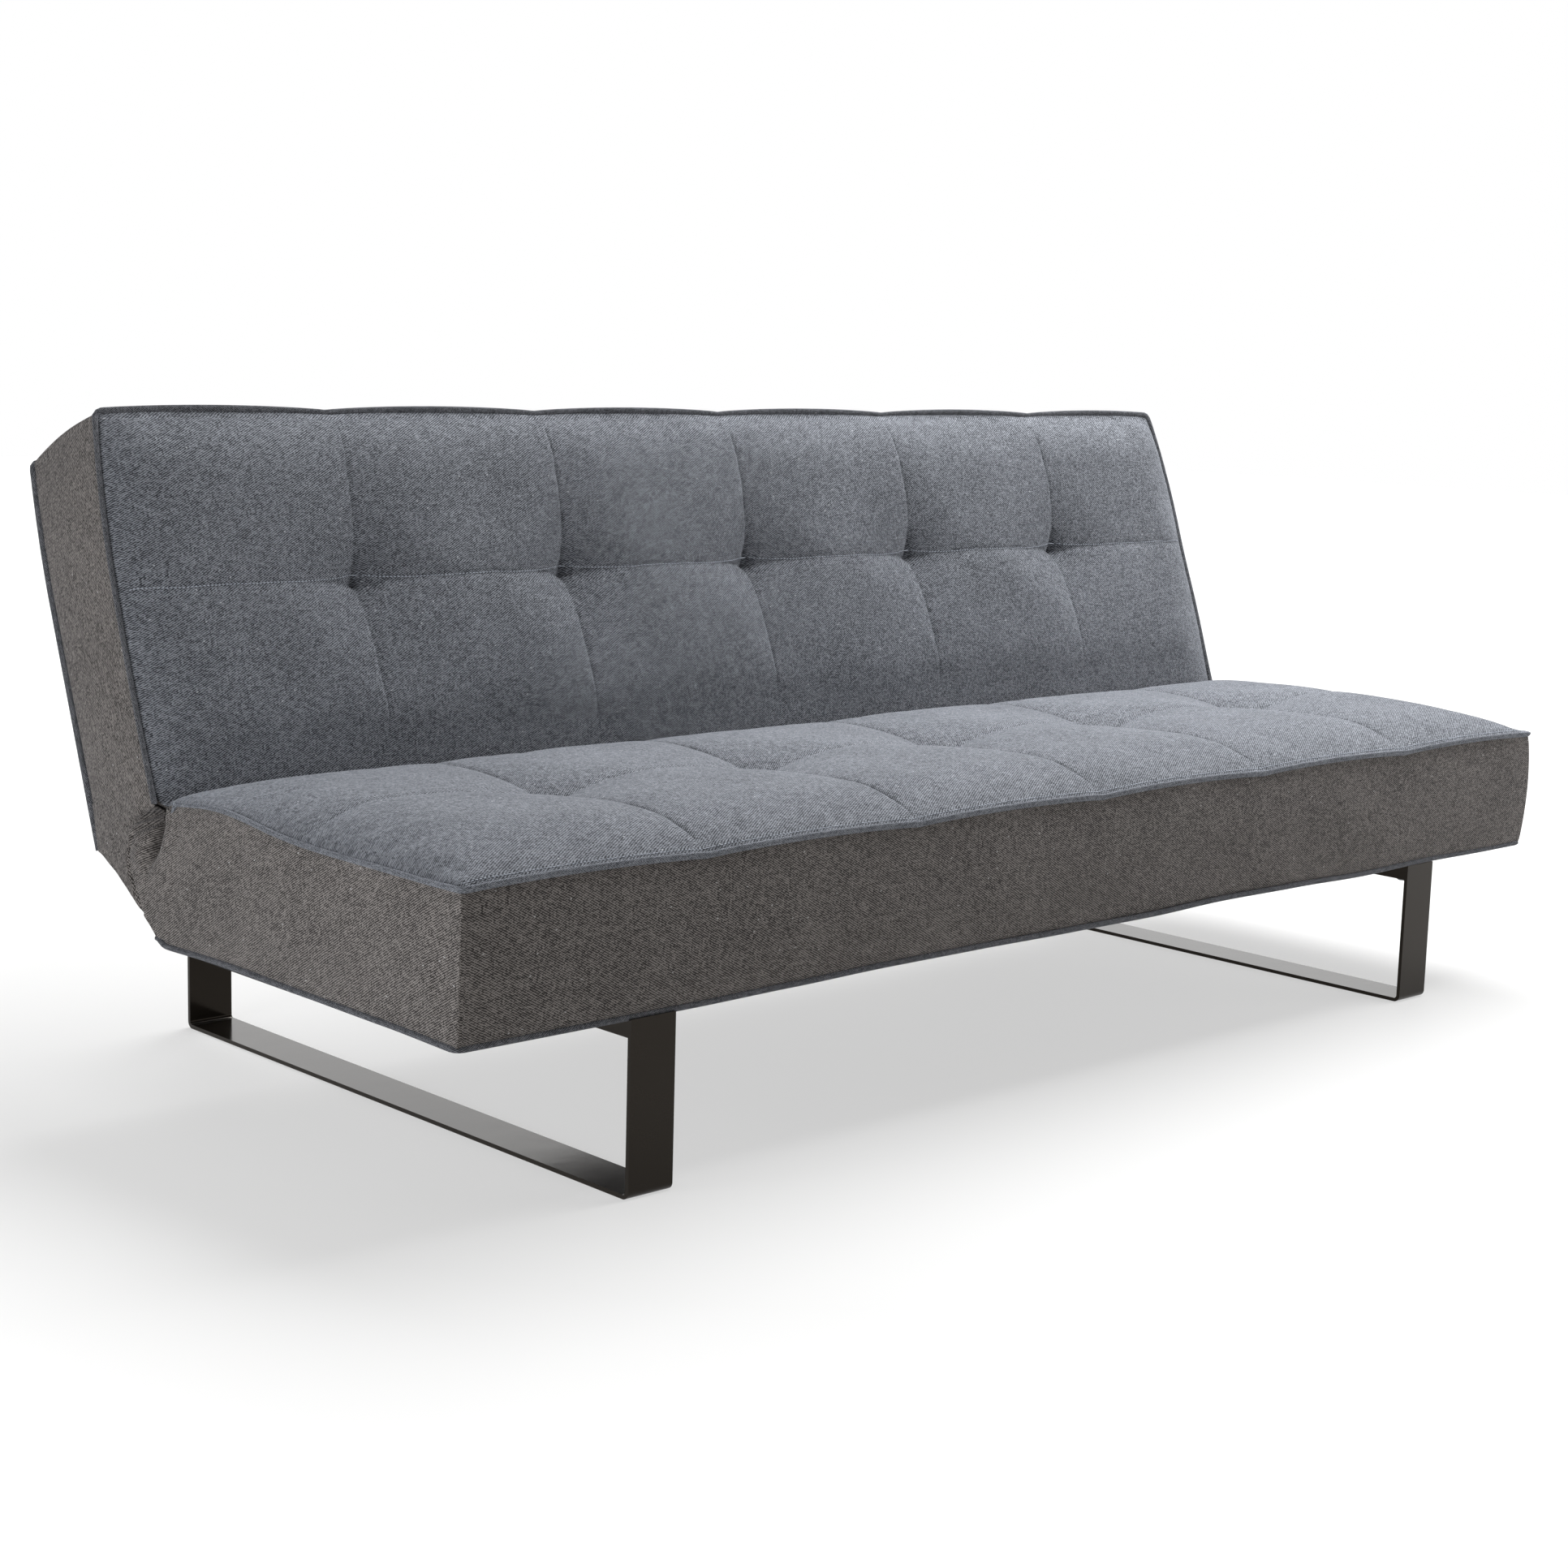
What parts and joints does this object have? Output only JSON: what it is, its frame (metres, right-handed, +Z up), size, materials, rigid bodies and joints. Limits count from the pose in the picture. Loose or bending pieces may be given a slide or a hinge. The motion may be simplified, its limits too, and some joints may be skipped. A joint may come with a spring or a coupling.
{
  "type": "sofa bed",
  "caption": "Click-clack sofa bed with a quilted seat pad and a folding quilted back pad in one woven cover, on two black flat-bar sled legs.",
  "frame": {"origin": "on the floor, centred under the sofa: halfway along its length and halfway between the front piping and the rear of the legs", "axes": "+X runs along the length, +Z up, the seat's front faces -Y and the back folds down towards +Y"},
  "size_m": [1.88, 0.88, 0.7796],
  "materials": {
    "powder_coat": "semi-gloss black powder coat",
    "zinc": "bright zinc plate",
    "spring_steel": "oiled spring steel",
    "timber": "planed softwood",
    "foam": "open-cell foam",
    "wadding": "polyester wadding",
    "felt": "pressed felt",
    "twine": "waxed twine",
    "cloth": "two-tone twill weave, blue-grey over near-black with pale flecks",
    "lining": "spun-bonded lining"
  },
  "bodies": {
    "base": {"leg_left": "powder_coat", "leg_right": "powder_coat", "leg_tube_left": "powder_coat", "leg_tube_right": "powder_coat", "leg_bolts": "zinc", "seat_rail_front": "timber", "seat_rail_rear": "timber", "seat_side_rails": "timber", "seat_cross_rails": "timber", "seat_frame_screws": "zinc", "seat_springs": "spring_steel", "seat_spring_clips": "spring_steel", "seat_felt": "felt", "seat_foam": "foam", "seat_wadding": "wadding", "seat_tuft_ties": "twine", "seat_cover": "cloth", "seat_piping": "cloth", "seat_hem_piping": "cloth", "seat_dust_cover": "lining", "seat_hinge_arm_left": "zinc", "seat_hinge_arm_right": "zinc", "hinge_pins": "zinc", "seat_hinge_bolts": "zinc", "pawl_pins": "zinc", "pawl_springs": "spring_steel", "crease_strip": "cloth", "side_gusset_left": "cloth", "side_gusset_right": "cloth"},
    "back": {"back_hinge_arm_left": "zinc", "back_hinge_arm_right": "zinc", "back_hinge_bolts": "zinc", "back_rail_bottom": "timber", "back_rail_top": "timber", "back_side_rails": "timber", "back_cross_rails": "timber", "back_frame_screws": "zinc", "back_springs": "spring_steel", "back_spring_clips": "spring_steel", "back_felt": "felt", "back_foam": "foam", "back_wadding": "wadding", "back_rear_wadding": "wadding", "back_tuft_ties": "twine", "back_cover": "cloth", "back_front_piping": "cloth", "back_rear_piping": "cloth"},
    "pawl_left": {"pawl_left": "zinc"},
    "pawl_right": {"pawl_right": "zinc"}
  },
  "joints": [
    {"name": "back_fold", "type": "hinge", "parent": "base", "child": "back", "pos_m": [0, 0.218, 0.238], "axis": [-1, 0, 0], "range_deg": [-10, 72], "deforming": ["side_gusset_left", "side_gusset_right", "crease_strip"]},
    {"name": "pawl_left_lift", "type": "hinge", "parent": "base", "child": "pawl_left", "pos_m": [-0.8815, 0.148, 0.226], "axis": [1, 0, 0], "range_deg": [0, 12], "stiffness_Nm_per_rad": 0.5, "springref_deg": -5.73},
    {"name": "pawl_right_lift", "type": "hinge", "parent": "base", "child": "pawl_right", "pos_m": [0.8815, 0.148, 0.226], "axis": [1, 0, 0], "range_deg": [0, 12], "stiffness_Nm_per_rad": 0.5, "springref_deg": -5.73}
  ]
}
